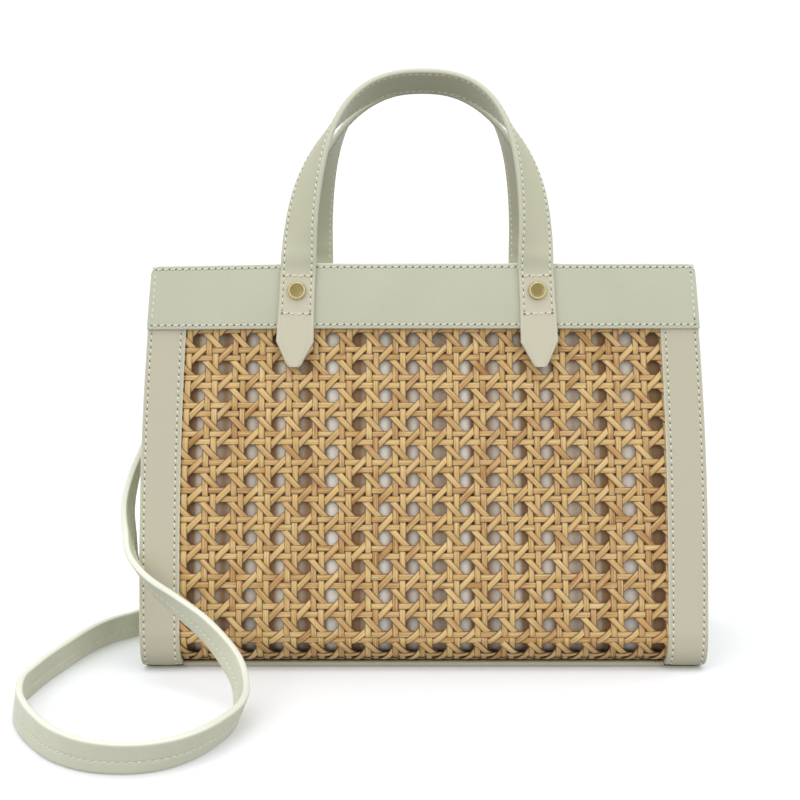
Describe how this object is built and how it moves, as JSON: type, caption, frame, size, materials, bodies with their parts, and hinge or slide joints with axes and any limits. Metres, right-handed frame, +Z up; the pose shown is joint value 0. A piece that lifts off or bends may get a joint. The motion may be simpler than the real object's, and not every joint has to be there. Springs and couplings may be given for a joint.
{
  "type": "cane tote bag",
  "caption": "Small structured tote bag with woven cane front and back, leather band, trims and gussets, stitched top handles and a long shoulder strap.",
  "frame": {"origin": "middle of the base on the floor", "axes": "+Z up, +X to the right of the front, the front faces -Y"},
  "size_m": [0.3227, 0.264, 0.2885],
  "materials": {
    "leather": "pale sage pebbled leather, soft sheen",
    "handle_leather": "pale sage leather with painted edges",
    "strap_leather": "two layers of pale sage leather, sewn, painted edges",
    "facing_leather": "pale sage leather, flesh side out",
    "cane": "natural woven cane, satin",
    "lining": "striped cotton twill",
    "brass": "aged satin brass",
    "board": "grey fibre board"
  },
  "bodies": {
    "root": {"cane_front": "cane", "cane_back": "cane", "trim_front_left": "leather", "trim_front_right": "leather", "trim_back_left": "leather", "trim_back_right": "leather", "band_front": "leather", "band_back": "leather", "facing_front": "facing_leather", "facing_back": "facing_leather", "gusset_left": "leather", "gusset_right": "leather", "base_panel": "leather", "base_board": "board", "lining": "lining", "handle_front": "handle_leather", "handle_back": "handle_leather", "handle_studs": "brass", "handle_caps": "brass", "strap_studs": "brass", "strap_caps": "brass", "shoulder_strap": "strap_leather"}
  },
  "joints": []
}
